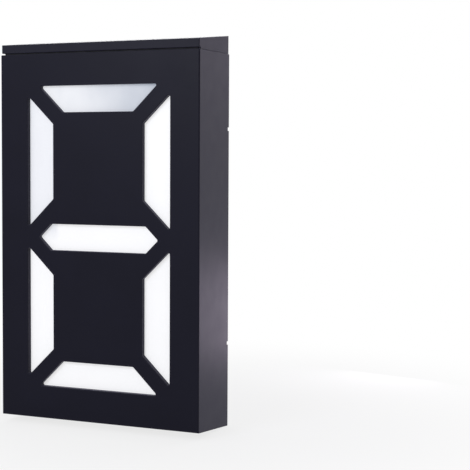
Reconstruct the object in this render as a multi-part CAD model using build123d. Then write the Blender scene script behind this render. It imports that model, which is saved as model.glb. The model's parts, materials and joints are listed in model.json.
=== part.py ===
from build123d import *
import math
import os

# Illuminated house number sign for a wall: a black case with a seven-bar figure,
# a solar lid on top, a rear cover with two keyholes, and the lamp inside.
# Millimetres. Origin: middle of the rear face, on the wall. +X right as seen from
# the front, +Z up, -Y out of the wall. "Depth" is the distance from the wall.

# ---- case ----
body_width = 108.0
body_height = 186.6          # along the rear face
body_depth = 40.0
bottom_rise = 4.0            # the underside climbs this much from wall to front
side_wall = 2.5
floor_wall = 2.5
front_wall = 3.0
outer_round = 0.7
edge_break = 0.25            # on the edges at the seam between case and lid
root = 0.5                   # how far a rib, boss or pad runs into the wall it grows from
past = 1.0                   # how far a cut runs past the face it opens

# ---- figure of seven bars ----
figure_side_margin = 15.2    # from the case's side to the figure's outer edge
figure_top_margin = 15.8
figure_bottom_margin = 16.2
bar_thickness = 13.2         # the three level bars
post_thickness = 14.4        # the four upright bars
bar_gap = 7.64               # between the slanting ends of two neighbours
post_start = 4.6             # from the figure's middle to an upright bar's outer edge
window_round = 0.8
window_bevel = 0.35

# ---- lamp stack behind the front wall ----
diffuser_thickness = 1.8
diffuser_overlap = 5.4       # past the figure's outer edges
diffuser_round = 1.5
cell_margin = 1.2            # light cells past the bars' edges
reflector_wall = 2.8
led_board_thickness = 1.2
board_overlap = 6.3          # past the figure's top and bottom
board_side_gap = 0.7
led_width = 3.5
led_length = 2.8
led_height = 1.9
leds_per_bar = 3
led_pitch = 15.5

# ---- board screws and their bosses ----
boss_radius = 2.7
boss_inset = 3.9             # from the side wall's inner face to a boss's middle
boss_clearance = 0.3
boss_rows = 3
boss_pitch = 70.0
boss_web = 1.8
screw_radius = 1.1
screw_length = 8.0
screw_tip_room = 1.0
screw_head_radius = 2.2
screw_head_height = 1.5
screw_clearance = 0.1

# ---- rear cover ----
cover_thickness = 2.5
cover_lip = 1.1              # case wall left standing round the cover
cover_seam = 0.15
seal_thickness = 0.6
seal_width = 0.9
seal_end_gap = 0.3
cover_rib_height = 3.0
cover_rib_thickness = 1.5
cover_rib_inset = 18.0       # from the case's side
cover_rib_end = 31.3         # from the case's top and bottom

# ---- keyholes, strap grooves and bottom catches ----
keyhole_spacing = 106.5
keyhole_top = 32.55          # from the rim to the upper hanging point
keyhole_head_radius = 4.0
keyhole_slot_width = 4.2
keyhole_side = 7.0           # entry hole, sideways from the hanging point
keyhole_drop = 8.0           # entry hole, below the hanging point
cup_depth = 5.5
cup_wall = 1.2
cup_room = 1.3
groove_drops = (5.45, 4.7)   # lower and upper groove, below their hanging points
groove_height = 2.6
groove_floor_height = 1.7
groove_depth = 1.0
groove_side_depth = 0.4
groove_side_length = 2.4
catch_inset = 8.5            # from the side wall's inner face
catch_width = 4.6
catch_height = 2.0
catch_above_floor = 0.6
catch_clearance = 0.2
catch_bite = 1.4
catch_arm_length = 7.0
catch_foot = 2.0
hook_below_rim = 21.1
hook_length = 8.0
hook_rib = 2.0
hook_gap = 0.3

# ---- solar lid ----
lid_gap = 0.8
lid_front_height = 5.0       # above the case rim
lid_back_height = 9.0
lid_inset = 0.35
lid_round = 0.5
lid_skin = 1.6
skirt_depth = 6.0
skirt_wall = 1.6
skirt_clearance = 0.3
lid_seal_inset = 1.65
lid_seal_width = 0.85
lip_wall = 1.2               # rim under the lid's right side, where the seam is shut
lip_seam = 0.15
lip_front_inset = 1.75       # its end, behind the lid's front face
panel_border = 4.15          # lid rim left round the panel
panel_clearance = 0.2
panel_board_thickness = 1.0
cell_thickness = 0.3
panel_cover_thickness = 0.5
cell_count = 8
cell_gap = 1.0
cell_border = 1.5
key_inset = 10.8             # from the case's side
key_width = 0.9
key_height = 1.3
key_depth = 1.0
key_clearance = 0.15
lead_hole_width = 6.0
lead_hole_depth = 5.0

# ---- battery ----
cell_radius = 7.1
cell_length = 48.5
cell_end_round = 0.6
cell_nub_radius = 2.7
cell_nub_length = 1.5
cell_lift = 0.1
battery_gap = 1.1            # between the rear cover and the holder
holder_above_cup = 1.45
holder_wall = 1.4
holder_slack = 0.3
holder_side_height = 11.0
contact_thickness = 0.4
contact_room = 2.2
contact_width = 9.0
contact_tip = 1.0
contact_bend = 1.2
tape_thickness = 0.8
tape_inset = 3.0
tape_margin = 1.0

# ---- controller ----
control_half_width = 22.0
control_half_height = 19.0
control_drop = 1.0           # below the figure's middle
control_thickness = 1.2
standoff_height = 4.2
standoff_radius = 2.0
standoff_inset = 3.5
standoff_pin = 0.9
standoff_tail = 1.0
chip_size = (5.0, 4.0, 1.5)
chip_x = -6.0
chip_feet = 4
foot_pitch = 1.27
foot_width = 0.4
foot_thickness = 0.3
foot_reach = 1.0
inductor_radius = 3.9
inductor_height = 4.5
inductor_x = 6.5
capacitor_radius = 2.6
capacitor_height = 6.0
capacitor_count = 3
capacitor_pitch = 7.0
capacitor_x = -7.5
capacitor_z = 9.5            # above the controller's middle
socket_size = (7.4, 5.8, 5.0)
socket_wall = 0.9
battery_socket_x = 12.0
switch_socket_x = 10.0
header_z = -9.5              # from the controller's middle
header_pins = 4
header_pitch = 2.54
header_width = 2.5
header_pin = 0.64
header_tail = 0.6

# ---- panel plug ----
plug_inset = 11.5            # from the side wall's inner face
plug_below_rim = 19.1
plug_socket_height = 7.0
plug_socket_width = 8.0
plug_socket_depth = 6.0
plug_clearance = 0.2
plug_head = 3.0
plug_proud = 1.5

# ---- power switch in the underside ----
switch_inset = 27.5          # from the side wall's inner face
switch_depth = 12.0          # from the wall
switch_body = (13.0, 6.0, 5.0)
switch_travel = 3.0
switch_ear = 4.0
switch_ear_thickness = 0.8
knob_width = 3.6
knob_thickness = 3.0
knob_clearance = 0.25
knob_sunk = 0.4
switch_floor = 2.0
recess_width = 12.0
recess_depth = 6.4
pad_margin = 2.5
switch_lift = 7.0            # pad's top above the lowest edge
switch_screw_radius = 0.9
switch_screw_length = 3.0
switch_screw_head = 1.7
switch_screw_head_height = 1.0
terminal_count = 3
terminal_pitch = 3.25
terminal_width = 0.8
terminal_thickness = 0.3
terminal_length = 3.0

# ---- leads ----
lead_radius = 0.65
lead_spacing = 1.8
lead_bend_share = 0.45

# ---- worked out from the above ----
rim = body_height / 2
heel = -body_height / 2                      # lowest edge, at the wall
slope = bottom_rise / body_depth
half_width = body_width / 2
inner_half_width = half_width - side_wall
stack_front = body_depth - front_wall        # depth of the front wall's inner face
reflector_front = stack_front - diffuser_thickness

digit_top = rim - figure_top_margin
digit_bottom = heel + bottom_rise + figure_bottom_margin
digit_centre = (digit_top + digit_bottom) / 2
digit_half_height = (digit_top - digit_bottom) / 2
digit_half_width = half_width - figure_side_margin
gap_along_axis = bar_gap * math.sqrt(2)      # the bars' ends slant at 45 degrees
bar_half_length = digit_half_width + post_start - gap_along_axis
post_far_end = digit_half_height - bar_half_length + digit_half_width - gap_along_axis

hanging_heights = (rim - keyhole_top - keyhole_spacing, rim - keyhole_top)
cup_reach = keyhole_head_radius + cup_room
holder_base = hanging_heights[1] + cup_reach + cup_wall + holder_above_cup
holder_half_depth = cell_radius + holder_slack + holder_wall
holder_half = (cell_length + cell_nub_length) / 2 + contact_room + holder_wall
cell_depth = cover_thickness + battery_gap + holder_half_depth
cell_z = holder_base + holder_wall + cell_radius + cell_lift

board_back = cell_depth + holder_half_depth + tape_thickness
board_front = board_back + led_board_thickness
led_board_half_width = inner_half_width - board_side_gap
boss_x = inner_half_width - boss_inset
control_front = board_back - standoff_height
control_back = control_front - control_thickness
control_centre = digit_centre - control_drop

cover_half_width = half_width - cover_lip - cover_seam
cover_bottom = heel + cover_lip + cover_seam
ledge_depth = cover_thickness + seal_thickness
catch_x = inner_half_width - catch_inset
hook_z = rim - hook_below_rim

lid_half_width = half_width - lid_inset
lid_back = lid_inset
lid_front = body_depth - lid_inset
lid_base = rim + lid_gap
lid_angle = math.atan2(lid_back_height - lid_front_height, lid_front - lid_back)
panel_stack = panel_board_thickness + cell_thickness + panel_cover_thickness
panel_half_length = lid_half_width - panel_border
panel_half_depth = (lid_front - lid_back) / 2 - panel_border
key_x = key_inset - half_width
plug_x = plug_inset - inner_half_width
plug_z = rim - plug_below_rim
panel_lead_depth = board_back - plug_socket_depth / 2

switch_x = inner_half_width - switch_inset
switch_base = heel + switch_lift
knob_slot_half = (knob_width + switch_travel) / 2 + knob_clearance
knob_slot_depth = knob_thickness / 2 + knob_clearance


def floor_height(depth):
    """Height of the case's underside at a depth."""
    return heel + slope * depth


def plate(sketch, depth_from, depth_to):
    """A sketch in X and Z made solid between two depths."""
    return extrude(Plane.XZ.offset(depth_from) * sketch, amount=depth_to - depth_from)


def block(x_range, depth_range, z_range):
    """A box between two values of X, of depth and of Z."""
    size = (x_range[1] - x_range[0], depth_range[1] - depth_range[0], z_range[1] - z_range[0])
    centre = (sum(x_range) / 2, -sum(depth_range) / 2, sum(z_range) / 2)
    return Pos(*centre) * Box(*size)


def about(middle, half):
    """The range that reaches equally far to both sides of a middle."""
    return (middle - half, middle + half)


def side_profile(points, x_from, x_to):
    """An outline of (depth, Z) points made solid between two values of X."""
    outline = Polyline(*[(-depth, z) for depth, z in points], close=True)
    return extrude(Plane.YZ.offset(x_from) * make_face(outline), amount=x_to - x_from)


def pillar(x, z, radius, depth_from, depth_to):
    """A round post square to the wall."""
    return plate(Pos(x, z) * Circle(radius), depth_from, depth_to)


def upright_pin(x, depth, radius, z_from, z_to):
    """A round pin along Z."""
    return Pos(x, -depth, (z_from + z_to) / 2) * Cylinder(radius, z_to - z_from)


def polygon(points):
    return make_face(Polyline(*points, close=True))


def rows(count, pitch, centre=0.0):
    """Evenly spaced places about a centre."""
    return [centre + (i - (count - 1) / 2) * pitch for i in range(count)]


# ---- the seven bars ----
def level_bar(z, top_edge, bottom_edge):
    """A level bar whose ends are cut at 45 degrees above and below its longest line."""
    long_x = bar_half_length
    up = [(long_x - top_edge, z + top_edge), (-long_x + top_edge, z + top_edge)]
    down = [(-long_x + bottom_edge, z - bottom_edge), (long_x - bottom_edge, z - bottom_edge)]
    tips = [(-long_x, z), (long_x, z)]
    if top_edge == 0:
        return polygon([tips[1], tips[0]] + down)
    if bottom_edge == 0:
        return polygon(up + tips)
    return polygon(up + [tips[0]] + down + [tips[1]])


def post_bar(side, half):
    """An upright bar: side is -1 left or 1 right, half is 1 upper or -1 lower."""
    outer = side * digit_half_width
    inner = side * (digit_half_width - post_thickness)
    far = digit_centre + half * post_far_end
    near = digit_centre + half * post_start
    step = half * post_thickness
    return polygon([(outer, near), (outer, far), (inner, far - step), (inner, near + step)])


def bars():
    half_bar = bar_thickness / 2
    level = [level_bar(digit_top, 0, bar_thickness), level_bar(digit_centre, half_bar, half_bar),
             level_bar(digit_bottom, bar_thickness, 0)]
    posts = [post_bar(side, half) for side in (-1, 1) for half in (1, -1)]
    return level + posts


def boss_places():
    heights = rows(boss_rows, boss_pitch, digit_centre)
    return [(side * boss_x, z) for side in (-1, 1) for z in heights]


def clear_of_bosses(sheet, depth_from, depth_to):
    """Notches in a sheet wherever it reaches a screw boss."""
    for x, z in boss_places():
        sheet -= pillar(x, z, boss_radius + boss_clearance, depth_from - past, depth_to + past)
    return sheet


def keyhole_sketch(hang_z):
    """Entry hole, sloping slot and round hanging end."""
    entry = Pos(keyhole_side, hang_z - keyhole_drop) * Circle(keyhole_head_radius)
    end = Pos(0, hang_z) * Circle(keyhole_slot_width / 2)
    length = math.hypot(keyhole_side, keyhole_drop)
    angle = math.degrees(math.atan2(-keyhole_drop, keyhole_side))
    middle = Pos(keyhole_side / 2, hang_z - keyhole_drop / 2)
    slot = middle * Rot(0, 0, angle) * Rectangle(length, keyhole_slot_width)
    return entry + end + slot


def grooves():
    """Two strap grooves across the back, with a nick in each side edge."""
    cutters = []
    tall = groove_height / 2
    low = groove_floor_height / 2
    for hang_z, drop in zip(hanging_heights, groove_drops):
        z = hang_z - drop
        ends = [(0, z - tall), (groove_depth, z - low), (groove_depth, z + low), (0, z + tall)]
        cutters.append(side_profile(ends, -half_width - past, half_width + past))
        for side in (-1, 1):
            edge = sorted((side * (half_width - groove_side_depth), side * (half_width + past)))
            cutters.append(block(edge, (-past, groove_side_length), about(z, low)))
    return cutters


# ---- case ----
def catch_tongue(side):
    """A springy arm on the case floor whose barb enters the cover's slot."""
    base = floor_height(cover_thickness) + floor_wall + catch_above_floor
    x_range = about(side * catch_x, catch_width / 2 - catch_clearance)
    arm_from = cover_thickness + catch_clearance
    arm_to = arm_from + catch_arm_length
    foot_from = arm_to - catch_foot
    z_range = (base, base + catch_height - 2 * catch_clearance)
    arm = block(x_range, (arm_from, arm_to), z_range)
    barb = block(x_range, (cover_thickness - catch_bite, arm_from), z_range)
    foot = side_profile([(foot_from, base), (foot_from, floor_height(foot_from) + root),
                         (arm_to, floor_height(arm_to) + root), (arm_to, base)], *x_range)
    return arm + barb + foot


def switch_screw_places():
    return rows(2, switch_body[0] + switch_ear, switch_x)


def switch_pad():
    """Thick level patch of the floor that the power switch sits on."""
    half = max(switch_body[0] / 2 + switch_ear, recess_width / 2) + pad_margin
    back, front = about(switch_depth, recess_depth / 2 + pad_margin)
    points = [(back, floor_height(back) + root), (front, floor_height(front) + root),
              (front, switch_base), (back, switch_base)]
    return side_profile(points, switch_x - half, switch_x + half)


def switch_cuts():
    """Finger recess from below, slot for the knob, and pilot holes."""
    recess = block(about(switch_x, recess_width / 2), about(switch_depth, recess_depth / 2),
                   (heel - past, switch_base - switch_floor))
    slot = block(about(switch_x, knob_slot_half), about(switch_depth, knob_slot_depth),
                 (heel, switch_base + past))
    pilot_radius = switch_screw_radius + screw_clearance / 2
    pilot_end = switch_base - switch_screw_length - screw_clearance
    pilots = [upright_pin(x, switch_depth, pilot_radius, pilot_end, switch_base + past)
              for x in switch_screw_places()]
    return [recess, slot] + pilots


def case_shell():
    """The case with its hollow, and the rebate that the rear cover lies in."""
    outline = [(0, heel), (body_depth, floor_height(body_depth)), (body_depth, rim), (0, rim)]
    shell = side_profile(outline, -half_width, half_width)
    front_edges = shell.faces().sort_by(Axis.Y)[0].edges().filter_by(Axis.X)
    shell = fillet(shell.edges().filter_by(Axis.Z) + front_edges.sort_by(Axis.Z)[0], outer_round)
    shell = chamfer(shell.faces().sort_by(Axis.Z)[-1].edges(), edge_break)
    hollow = [(-past, floor_height(-past) + floor_wall),
              (stack_front, floor_height(stack_front) + floor_wall),
              (stack_front, rim + past), (-past, rim + past)]
    shell -= side_profile(hollow, -inner_half_width, inner_half_width)
    lip = half_width - cover_lip
    return shell - block((-lip, lip), (-past, ledge_depth), (heel + cover_lip, rim + past))


def boss(x, z):
    """A screw boss with a web to the nearest side wall."""
    depth_range = (board_front, stack_front + root)
    wall = math.copysign(inner_half_width + root, x)
    return pillar(x, z, boss_radius, *depth_range) + block(sorted((x, wall)), depth_range,
                                                          about(z, boss_web / 2))


def front_housing():
    shell = case_shell()
    for bar in bars():
        shell -= plate(fillet(bar.vertices(), window_round), stack_front - past, body_depth + past)
    windows = shell.faces().sort_by(Axis.Y)[0].inner_wires()
    shell = chamfer([edge for window in windows for edge in window.edges()], window_bevel)
    screw_end = board_back + screw_length + screw_tip_room
    for x, z in boss_places():
        shell += boss(x, z)
        shell -= pillar(x, z, screw_radius + screw_clearance / 2, board_front - past, screw_end)
    rib_depth = (ledge_depth + hook_rib, ledge_depth + 2 * hook_rib)
    for side in (-1, 1):
        shell += catch_tongue(side)
        wall = sorted((side * (inner_half_width - hook_rib), side * (inner_half_width + root)))
        shell += block(wall, rib_depth, (hook_z, hook_z + hook_length))
    shell += switch_pad()
    for cut in switch_cuts() + grooves():
        shell -= cut
    return shell


# ---- rear cover ----
def cover_hook(side):
    """A hook near the cover's top that reaches in front of a rib on the case's side."""
    tip_from = ledge_depth + 2 * hook_rib + hook_gap
    tip_to = tip_from + hook_rib
    stem_outer = inner_half_width - hook_rib - hook_gap
    stem_inner = stem_outer - hook_rib
    z_range = (hook_z + hook_gap, hook_z + hook_length - hook_gap)
    stem = sorted((side * stem_inner, side * stem_outer))
    tip = sorted((side * stem_inner, side * (inner_half_width - hook_gap)))
    return block(stem, (cover_thickness - root, tip_to), z_range) + block(tip, (tip_from, tip_to), z_range)


def rear_cover():
    cover = block((-cover_half_width, cover_half_width), (0, cover_thickness), (cover_bottom, rim))
    cover = chamfer(cover.faces().sort_by(Axis.Z)[-1].edges().sort_by(Axis.Y)[-1], edge_break)
    for hang_z in hanging_heights:
        cover -= plate(keyhole_sketch(hang_z), -past, cover_thickness + past)
    slot_base = floor_height(cover_thickness) + floor_wall + catch_above_floor - catch_clearance
    for side in (-1, 1):
        cover -= block(about(side * catch_x, catch_width / 2), (-past, cover_thickness + past),
                       (slot_base, slot_base + catch_height))
        rib_x = side * (half_width - cover_rib_inset)
        cover += block(about(rib_x, cover_rib_thickness / 2),
                       (cover_thickness - root, cover_thickness + cover_rib_height),
                       (heel + cover_rib_end, rim - cover_rib_end))
        cover += cover_hook(side)
    for cut in grooves():
        cover -= cut
    return cover - block(about(key_x, key_width / 2 + key_clearance), (-past, key_depth + key_clearance),
                         (rim - key_height - key_clearance, rim + past))


def rear_seal():
    """A soft strip on the ledge: down one side, along the bottom and up the other."""
    middle = (half_width - cover_lip + inner_half_width) / 2
    outer = middle + seal_width / 2
    inner = middle - seal_width / 2
    low = (heel + cover_lip + floor_height(ledge_depth) + floor_wall) / 2
    top = rim - seal_end_gap
    ring = block((-outer, outer), (cover_thickness, ledge_depth), (low - seal_width / 2, top))
    return ring - block((-inner, inner), (0, ledge_depth + past), (low + seal_width / 2, top + past))


def keyhole_cups():
    """A cup behind each keyhole keeps the rain out and leaves room for the screw's head."""
    cups = []
    floor = cover_thickness + cup_depth
    for hang_z in hanging_heights:
        room_x = (-cup_reach, keyhole_side + cup_reach)
        room_z = (hang_z - keyhole_drop - cup_reach, hang_z + cup_reach)
        outer = block((room_x[0] - cup_wall, room_x[1] + cup_wall), (cover_thickness, floor + cup_wall),
                      (room_z[0] - cup_wall, room_z[1] + cup_wall))
        cups.append(outer - block(room_x, (0, floor), room_z))
    return cups


# ---- lamp ----
def diffuser_panel():
    size = (2 * (digit_half_width + diffuser_overlap), 2 * (digit_half_height + diffuser_overlap))
    sheet = plate(Pos(0, digit_centre) * RectangleRounded(*size, diffuser_round),
                  reflector_front, stack_front)
    return clear_of_bosses(sheet, reflector_front, stack_front)


def segment_reflector():
    """A white frame with one light cell for each bar."""
    edge = cell_margin + reflector_wall
    size = (2 * (digit_half_width + edge), 2 * (digit_half_height + edge))
    frame = plate(Pos(0, digit_centre) * Rectangle(*size), board_front, reflector_front)
    for bar in bars():
        cell = offset(bar, amount=cell_margin, kind=Kind.INTERSECTION)
        frame -= plate(cell, board_front - past, reflector_front + past)
    return clear_of_bosses(frame, board_front, reflector_front)


def led_board():
    size = (2 * led_board_half_width, 2 * (digit_half_height + board_overlap))
    board = plate(Pos(0, digit_centre) * Rectangle(*size), board_back, board_front)
    for x, z in boss_places():
        board -= pillar(x, z, screw_radius + 2 * screw_clearance, board_back - past, board_front + past)
    return board


def led_places():
    centre_x = digit_half_width - post_thickness / 2
    post_centre = (post_far_end + post_start) / 2
    level = [digit_top - bar_thickness / 2, digit_centre, digit_bottom + bar_thickness / 2]
    places = [(x, z) for z in level for x in rows(leds_per_bar, led_pitch)]
    for side in (-1, 1):
        for half in (-1, 1):
            heights = rows(leds_per_bar, led_pitch, digit_centre + half * post_centre)
            places += [(side * centre_x, z) for z in heights]
    return places


def segment_leds():
    depth_range = (board_front, board_front + led_height)
    return [block(about(x, led_width / 2), depth_range, about(z, led_length / 2))
            for x, z in led_places()]


def board_screws():
    screws = []
    for x, z in boss_places():
        head = pillar(x, z, screw_head_radius, board_back - screw_head_height, board_back)
        screws.append(head + pillar(x, z, screw_radius, board_back - root, board_back + screw_length))
    return screws


# ---- solar lid ----
def lid_top(depth):
    """Height of the lid's sloping top at a depth."""
    share = (depth - lid_back) / (lid_front - lid_back)
    return rim + lid_back_height + share * (lid_front_height - lid_back_height)


def lid_layer(x_half, depth_half, below_from, below_to):
    """A slab parallel to the sloping top, between two distances under it."""
    middle = (lid_back + lid_front) / 2
    reach = depth_half * math.cos(lid_angle)
    points = []
    for side, below in ((-1, below_from), (1, below_from), (1, below_to), (-1, below_to)):
        depth = middle + side * reach
        points.append((depth - below * math.sin(lid_angle), lid_top(depth) - below * math.cos(lid_angle)))
    return side_profile(points, -x_half, x_half)


def lid_wedge():
    """The lid's outer block, with its edges rounded above and broken below."""
    wedge = side_profile([(lid_back, lid_base), (lid_front, lid_base), (lid_front, lid_top(lid_front)),
                          (lid_back, lid_top(lid_back))], -lid_half_width, lid_half_width)
    top_edges = wedge.edges().filter_by(Axis.X).sort_by(Axis.Z)[-2:]
    wedge = fillet(wedge.edges().filter_by(Axis.Z) + top_edges, lid_round)
    return chamfer(wedge.faces().sort_by(Axis.Z)[0].edges(), edge_break)


def solar_lid():
    pocket_half = panel_half_length + panel_clearance
    lid = lid_wedge() - lid_layer(pocket_half, panel_half_depth + panel_clearance, -past - root, panel_stack)
    skirt_x = inner_half_width - skirt_clearance
    skirt_back = cover_thickness + skirt_clearance
    skirt_front = stack_front - skirt_clearance
    skirt_low = rim - skirt_depth
    lid += block((-skirt_x, skirt_x), (skirt_back, skirt_front), (skirt_low, lid_base + root))
    under = panel_stack + lid_skin
    room_back = skirt_back + skirt_wall
    room_front = skirt_front - skirt_wall
    room = [(room_back, skirt_low - past), (room_back, lid_top(room_back) - under),
            (room_front, lid_top(room_front) - under), (room_front, skirt_low - past)]
    lid -= side_profile(room, skirt_wall - skirt_x, skirt_x - skirt_wall)
    lid += block(about(key_x, key_width / 2), (key_clearance, key_depth),
                 (rim - key_height, lid_base + key_height))
    lip = block((lid_half_width - lip_wall, lid_half_width), (lid_back, lid_front - lip_front_inset),
                (rim + lip_seam, lid_base + root))
    lid += fillet(lip.edges().filter_by(Axis.Z).sort_by(Axis.X)[-2:].sort_by(Axis.Y)[-1], lid_round)
    lead_hole = block(about(plug_x, lead_hole_width / 2), about(panel_lead_depth, lead_hole_depth / 2),
                      (lid_base - past, lid_top(panel_lead_depth) - panel_stack + root))
    return lid - lead_hole


def panel_board():
    return lid_layer(panel_half_length, panel_half_depth, panel_stack - panel_board_thickness, panel_stack)


def solar_cells():
    pitch = 2 * (panel_half_length - cell_border) / cell_count
    top = panel_cover_thickness
    slab = lid_layer((pitch - cell_gap) / 2, panel_half_depth - cell_border, top, top + cell_thickness)
    return [Pos(x, 0, 0) * slab for x in rows(cell_count, pitch)]


def panel_cover():
    return lid_layer(panel_half_length, panel_half_depth, 0, panel_cover_thickness)


def lid_seal():
    """A soft ring that closes the seam, set back from the case's outer faces."""
    outer = half_width - lid_seal_inset
    inner = outer - lid_seal_width
    back, front = lid_seal_inset, body_depth - lid_seal_inset
    ring = block((-outer, outer), (back, front), (rim, lid_base))
    return ring - block((-inner, inner), (back + lid_seal_width, front - lid_seal_width),
                        (rim - past, lid_base + past))


# ---- battery ----
def battery_holder():
    tray = block((-holder_half, holder_half), about(cell_depth, holder_half_depth),
                 (holder_base, holder_base + holder_side_height))
    inside = holder_half - holder_wall
    return tray - block((-inside, inside), about(cell_depth, holder_half_depth - holder_wall),
                        (holder_base + holder_wall, holder_base + holder_side_height + past))


def along_cell(radius, x_from, x_to):
    """A round bar on the cell's own axis."""
    return Pos((x_from + x_to) / 2, -cell_depth, cell_z) * Rot(0, 90, 0) * Cylinder(radius, x_to - x_from)


def battery_cell():
    start = -(cell_length + cell_nub_length) / 2
    shoulder = start + cell_length
    can = along_cell(cell_radius, start, shoulder)
    can = fillet(can.edges().filter_by(GeomType.CIRCLE), cell_end_round)
    return can + along_cell(cell_nub_radius, shoulder - root, shoulder + cell_nub_length)


def battery_contact(side):
    """A folded spring strip between the cell's end and the holder's end wall."""
    wall = side * (holder_half - holder_wall)
    inner = wall - side * contact_thickness
    tip = side * ((cell_length + cell_nub_length) / 2 + cell_lift)
    knee = tip + side * contact_thickness
    low = holder_base + holder_wall + 2 * cell_lift
    high = holder_base + holder_side_height - root
    outline = [(wall, low), (wall, high), (inner, high), (tip, cell_z + contact_tip),
               (tip, cell_z - contact_tip), (knee, cell_z - contact_tip),
               (knee, cell_z + contact_tip - contact_thickness / 2), (inner, high - contact_bend),
               (inner, low)]
    return plate(polygon(outline), *about(cell_depth, contact_width / 2))


def holder_tape():
    back = cell_depth + holder_half_depth
    reach = holder_half - tape_inset
    return block((-reach, reach), (back, back + tape_thickness),
                 (holder_base + tape_margin, holder_base + holder_side_height - tape_margin))


# ---- controller ----
def standoff_places():
    x = control_half_width - standoff_inset
    z = control_half_height - standoff_inset
    return [(sx * x, control_centre + sz * z) for sx in (-1, 1) for sz in (-1, 1)]


def controller_board():
    board = plate(Pos(0, control_centre) * Rectangle(2 * control_half_width, 2 * control_half_height),
                  control_back, control_front)
    for x, z in standoff_places():
        board -= pillar(x, z, standoff_pin + screw_clearance, control_back - past, control_front + past)
    for x in rows(header_pins, header_pitch):
        board -= pillar(x, control_centre + header_z, header_pin, control_back - past, control_front + past)
    return board


def board_standoffs():
    posts = []
    for x, z in standoff_places():
        post = pillar(x, z, standoff_radius, control_front, board_back)
        posts.append(post + pillar(x, z, standoff_pin, control_back - standoff_tail, control_front + root))
    return posts


def driver_chip():
    wide, tall, thick = chip_size
    chip = block(about(chip_x, wide / 2), (control_back - thick, control_back),
                 about(control_centre, tall / 2))
    for foot in rows(chip_feet, foot_pitch, chip_x):
        chip += block(about(foot, foot_width / 2), (control_back - foot_thickness, control_back),
                      about(control_centre, tall / 2 + foot_reach))
    return chip


def power_inductor():
    return pillar(inductor_x, control_centre, inductor_radius, control_back - inductor_height, control_back)


def capacitors():
    return [pillar(x, control_centre + capacitor_z, capacitor_radius, control_back - capacitor_height,
                   control_back)
            for x in rows(capacitor_count, capacitor_pitch, capacitor_x)]


def lead_socket(x, z, up):
    """A lead socket on the controller whose mouth faces up (1) or down (-1)."""
    wide, tall, thick = socket_size
    middle = control_back - thick / 2
    shell = block(about(x, wide / 2), about(middle, thick / 2), sorted((z, z - up * tall)))
    mouth = sorted((z + up * past, z - up * (tall - socket_wall)))
    return shell - block(about(x, wide / 2 - socket_wall), about(middle, thick / 2 - socket_wall), mouth)


def battery_socket():
    return lead_socket(battery_socket_x, control_centre + control_half_height, 1)


def switch_socket():
    return lead_socket(switch_socket_x, control_centre - control_half_height, -1)


def lead_plug(x, z, up):
    """A plug that fills a socket and stands a little proud of it."""
    wide, tall, thick = socket_size
    gap = socket_wall + plug_clearance
    middle = control_back - thick / 2
    return block(about(x, wide / 2 - gap), about(middle, thick / 2 - gap),
                 sorted((z - up * (tall - gap), z + up * plug_proud)))


def battery_plug():
    return lead_plug(battery_socket_x, control_centre + control_half_height, 1)


def switch_plug():
    return lead_plug(switch_socket_x, control_centre - control_half_height, -1)


def board_header():
    """Pin strip that joins the controller to the lamp board."""
    z = control_centre + header_z
    strip = block(about(0, header_pins * header_pitch / 2), (control_front, board_back),
                  about(z, header_width / 2))
    for x in rows(header_pins, header_pitch):
        strip += block(about(x, header_pin / 2), (control_back - header_tail, control_front),
                       about(z, header_pin / 2))
    return strip


# ---- panel socket and plug ----
def panel_socket():
    z_range = (plug_z, plug_z + plug_socket_height)
    shell = block(about(plug_x, plug_socket_width / 2),
                  about(panel_lead_depth, plug_socket_depth / 2), z_range)
    return shell - block(about(plug_x, plug_socket_width / 2 - socket_wall),
                         about(panel_lead_depth, plug_socket_depth / 2 - socket_wall),
                         (plug_z + socket_wall, z_range[1] + past))


def panel_plug():
    gap = socket_wall + plug_clearance
    return block(about(plug_x, plug_socket_width / 2 - gap),
                 about(panel_lead_depth, plug_socket_depth / 2 - gap),
                 (plug_z + gap, plug_z + plug_socket_height + plug_head))


# ---- power switch ----
def switch_case():
    long_x, deep, tall = switch_body
    top = switch_base + tall
    shell = block(about(switch_x, long_x / 2), about(switch_depth, deep / 2), (switch_base, top))
    shell += block(about(switch_x, long_x / 2 + switch_ear), about(switch_depth, deep / 2),
                   (switch_base, switch_base + switch_ear_thickness))
    shell -= block(about(switch_x, knob_slot_half), about(switch_depth, knob_slot_depth),
                   (switch_base - past, switch_base + tall / 2))
    for x in switch_screw_places():
        shell -= upright_pin(x, switch_depth, switch_screw_radius + screw_clearance,
                             switch_base - past, switch_base + switch_ear_thickness + past)
    for x in rows(terminal_count, terminal_pitch, switch_x):
        shell += block(about(x, terminal_width / 2), about(switch_depth, terminal_thickness / 2),
                       (top - root, top + terminal_length))
    return shell


def switch_knob():
    """The sliding knob, drawn at its lit end of travel."""
    half = knob_thickness / 2
    top = switch_base + switch_body[2] / 2 - knob_clearance
    return block(about(switch_x - switch_travel / 2, knob_width / 2), about(switch_depth, half),
                 (floor_height(switch_depth - half) + knob_sunk, top))


def switch_screws():
    base = switch_base + switch_ear_thickness
    return [upright_pin(x, switch_depth, switch_screw_head, base, base + switch_screw_head_height)
            + upright_pin(x, switch_depth, switch_screw_radius, base - switch_screw_length, base + root)
            for x in switch_screw_places()]


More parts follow.
